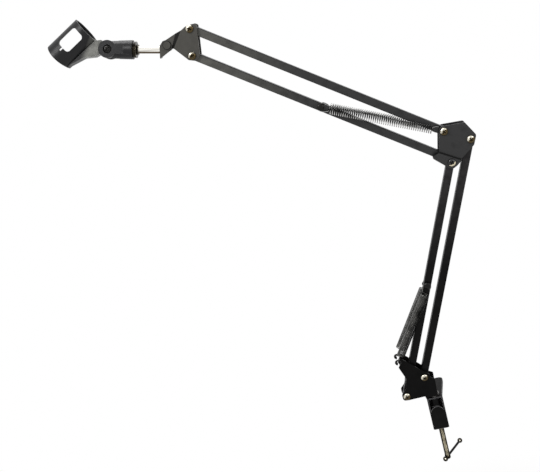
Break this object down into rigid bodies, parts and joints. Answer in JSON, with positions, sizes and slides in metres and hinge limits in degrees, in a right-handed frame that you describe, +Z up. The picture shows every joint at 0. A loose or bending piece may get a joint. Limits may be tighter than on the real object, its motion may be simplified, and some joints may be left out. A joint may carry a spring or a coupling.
{
  "type": "microphone boom arm",
  "caption": "Desk-clamped microphone boom arm: sprung parallelogram tube arms on a swivel clamp, with a tilting threaded rod and an open clip that holds a microphone.",
  "frame": {"origin": "middle of the upper jaw's underside, which lies on the table", "axes": "+Z up, the arm folds in a plane parallel to XZ with the clip towards -X, +Y from the post to the table"},
  "size_m": [0.4983, 0.0896, 0.7332],
  "materials": {
    "black_paint": "satin powder coat",
    "clamp_paint": "satin paint on a casting",
    "zinc": "zinc plated",
    "black_steel": "black oxide",
    "chrome": "bright plated",
    "brass": "turned, nickel washed",
    "nylon": "moulded",
    "black_plastic": "moulded satin"
  },
  "bodies": {
    "clamp": {"clamp_body": "clamp_paint"},
    "pad": {"pressure_pad": "black_plastic"},
    "screw": {"clamp_screw": "zinc"},
    "tee": {"tee_bar": "black_steel", "tee_bar_balls": "zinc"},
    "base": {"base_bracket": "black_paint", "base_post": "zinc", "base_bolts": "zinc", "base_nuts": "zinc", "base_bushes": "nylon"},
    "lower_main": {"lower_main_tube": "black_paint"},
    "lower_link": {"lower_link_tube": "black_paint"},
    "lower_pin": {"lower_spring_pin": "black_steel"},
    "lower_springs": {"lower_spring_front": "chrome", "lower_spring_rear": "chrome"},
    "elbow": {"elbow_plate_front": "black_paint", "elbow_plate_rear": "black_paint", "elbow_bolts": "zinc", "elbow_nuts": "zinc", "elbow_bushes": "nylon", "elbow_rivet": "black_steel", "elbow_rivet_bushes": "nylon"},
    "upper_main": {"upper_main_tube": "black_paint"},
    "upper_link": {"upper_link_tube": "black_paint"},
    "upper_pin": {"upper_spring_pin": "black_steel"},
    "upper_springs": {"upper_spring_front": "chrome", "upper_spring_rear": "chrome"},
    "head": {"head_plate_front": "black_paint", "head_plate_rear": "black_paint", "head_bolts": "zinc", "head_nuts": "zinc", "head_bushes": "nylon", "tilt_bolt": "black_steel", "tilt_nut": "zinc"},
    "tilt": {"tilt_clevis": "black_paint", "microphone_rod": "chrome"},
    "clip_base": {"barrel_insert": "brass", "clip_barrel": "black_plastic", "clip_screw": "zinc", "clip_nut": "zinc"},
    "clip": {"microphone_clip": "black_plastic"}
  },
  "joints": [
    {"name": "base_swivel", "type": "hinge", "parent": "clamp", "child": "base", "pos_m": [0, -0.028, 0.005], "axis": [0, 0, 1], "continuous": true},
    {"name": "screw_turn", "type": "hinge", "parent": "pad", "child": "screw", "pos_m": [0, 0.002, -0.04], "axis": [0, 0, 1], "range_deg": [-30, 4350]},
    {"name": "pad_travel", "type": "slide", "parent": "clamp", "child": "pad", "axis": [0, 0, 1], "range_m": [0, 0.021]},
    {"name": "tee_slide", "type": "slide", "parent": "screw", "child": "tee", "axis": [0.5446, 0.8387, 0], "range_m": [-0.035, 0]},
    {"name": "lower_arm", "type": "hinge", "parent": "base", "child": "lower_main", "pos_m": [-0.0365, -0.028, 0.0163], "axis": [0, -1, 0], "range_deg": [-12, 24]},
    {"name": "lower_link_turn", "type": "hinge", "parent": "base", "child": "lower_link", "pos_m": [-0.0073, -0.028, 0.0392], "axis": [0, -1, 0], "range_deg": [-12, 24]},
    {"name": "elbow_level", "type": "hinge", "parent": "lower_main", "child": "elbow", "pos_m": [0.08735, -0.028, 0.32595], "axis": [0, -1, 0], "range_deg": [-24, 12]},
    {"name": "lower_spring_swing", "type": "hinge", "parent": "lower_main", "child": "lower_pin", "pos_m": [0.02426, -0.028, 0.1682], "axis": [0, -1, 0], "range_deg": [-5.42, 10.35]},
    {"name": "lower_spring_stretch", "type": "slide", "parent": "lower_pin", "child": "lower_springs", "axis": [-0.5314, 0, -0.8471], "range_m": [-0.00937, 0.00494], "deforming": ["lower_spring_front", "lower_spring_rear"]},
    {"name": "upper_arm", "type": "hinge", "parent": "elbow", "child": "upper_main", "pos_m": [0.07985, -0.028, 0.33395], "axis": [0, -1, 0], "range_deg": [-25, 30]},
    {"name": "upper_link_turn", "type": "hinge", "parent": "elbow", "child": "upper_link", "pos_m": [0.08595, -0.028, 0.36645], "axis": [0, -1, 0], "range_deg": [-25, 30]},
    {"name": "head_level", "type": "hinge", "parent": "upper_main", "child": "head", "pos_m": [-0.19786, -0.028, 0.53646], "axis": [0, -1, 0], "range_deg": [-30, 25]},
    {"name": "upper_spring_swing", "type": "hinge", "parent": "upper_main", "child": "upper_pin", "pos_m": [-0.05751, -0.028, 0.43411], "axis": [0, -1, 0], "range_deg": [-1.52, 1.72]},
    {"name": "upper_spring_stretch", "type": "slide", "parent": "upper_pin", "child": "upper_springs", "axis": [0.9044, 0, -0.4266], "range_m": [-0.0139, 0.01657], "deforming": ["upper_spring_front", "upper_spring_rear"]},
    {"name": "head_tilt", "type": "hinge", "parent": "head", "child": "tilt", "pos_m": [-0.22535, -0.028, 0.55696], "axis": [0, -1, 0], "range_deg": [-35, 35]},
    {"name": "clip_turn", "type": "hinge", "parent": "tilt", "child": "clip_base", "pos_m": [-0.27042, -0.028, 0.56241], "axis": [-0.9681, 0, 0.2504], "continuous": true},
    {"name": "clip_tilt", "type": "hinge", "parent": "clip_base", "child": "clip", "pos_m": [-0.30044, -0.028, 0.57018], "axis": [0.0456, -0.9833, 0.1764], "range_deg": [-60, 40]}
  ],
  "couplings": [
    {"joint": "screw_turn", "follows": "pad_travel", "rad_per_m": 3590.4},
    {"joint": "lower_link_turn", "follows": "lower_arm", "ratio": 1},
    {"joint": "elbow_level", "follows": "lower_arm", "ratio": -1},
    {"joint": "lower_spring_swing", "follows": "lower_arm", "ratio": 0.41028},
    {"joint": "lower_spring_stretch", "follows": "lower_arm", "m_per_rad": -0.021187},
    {"joint": "upper_link_turn", "follows": "upper_arm", "ratio": 1},
    {"joint": "head_level", "follows": "upper_arm", "ratio": -1},
    {"joint": "upper_spring_swing", "follows": "upper_arm", "ratio": 0.04069},
    {"joint": "upper_spring_stretch", "follows": "upper_arm", "m_per_rad": 0.030702}
  ]
}
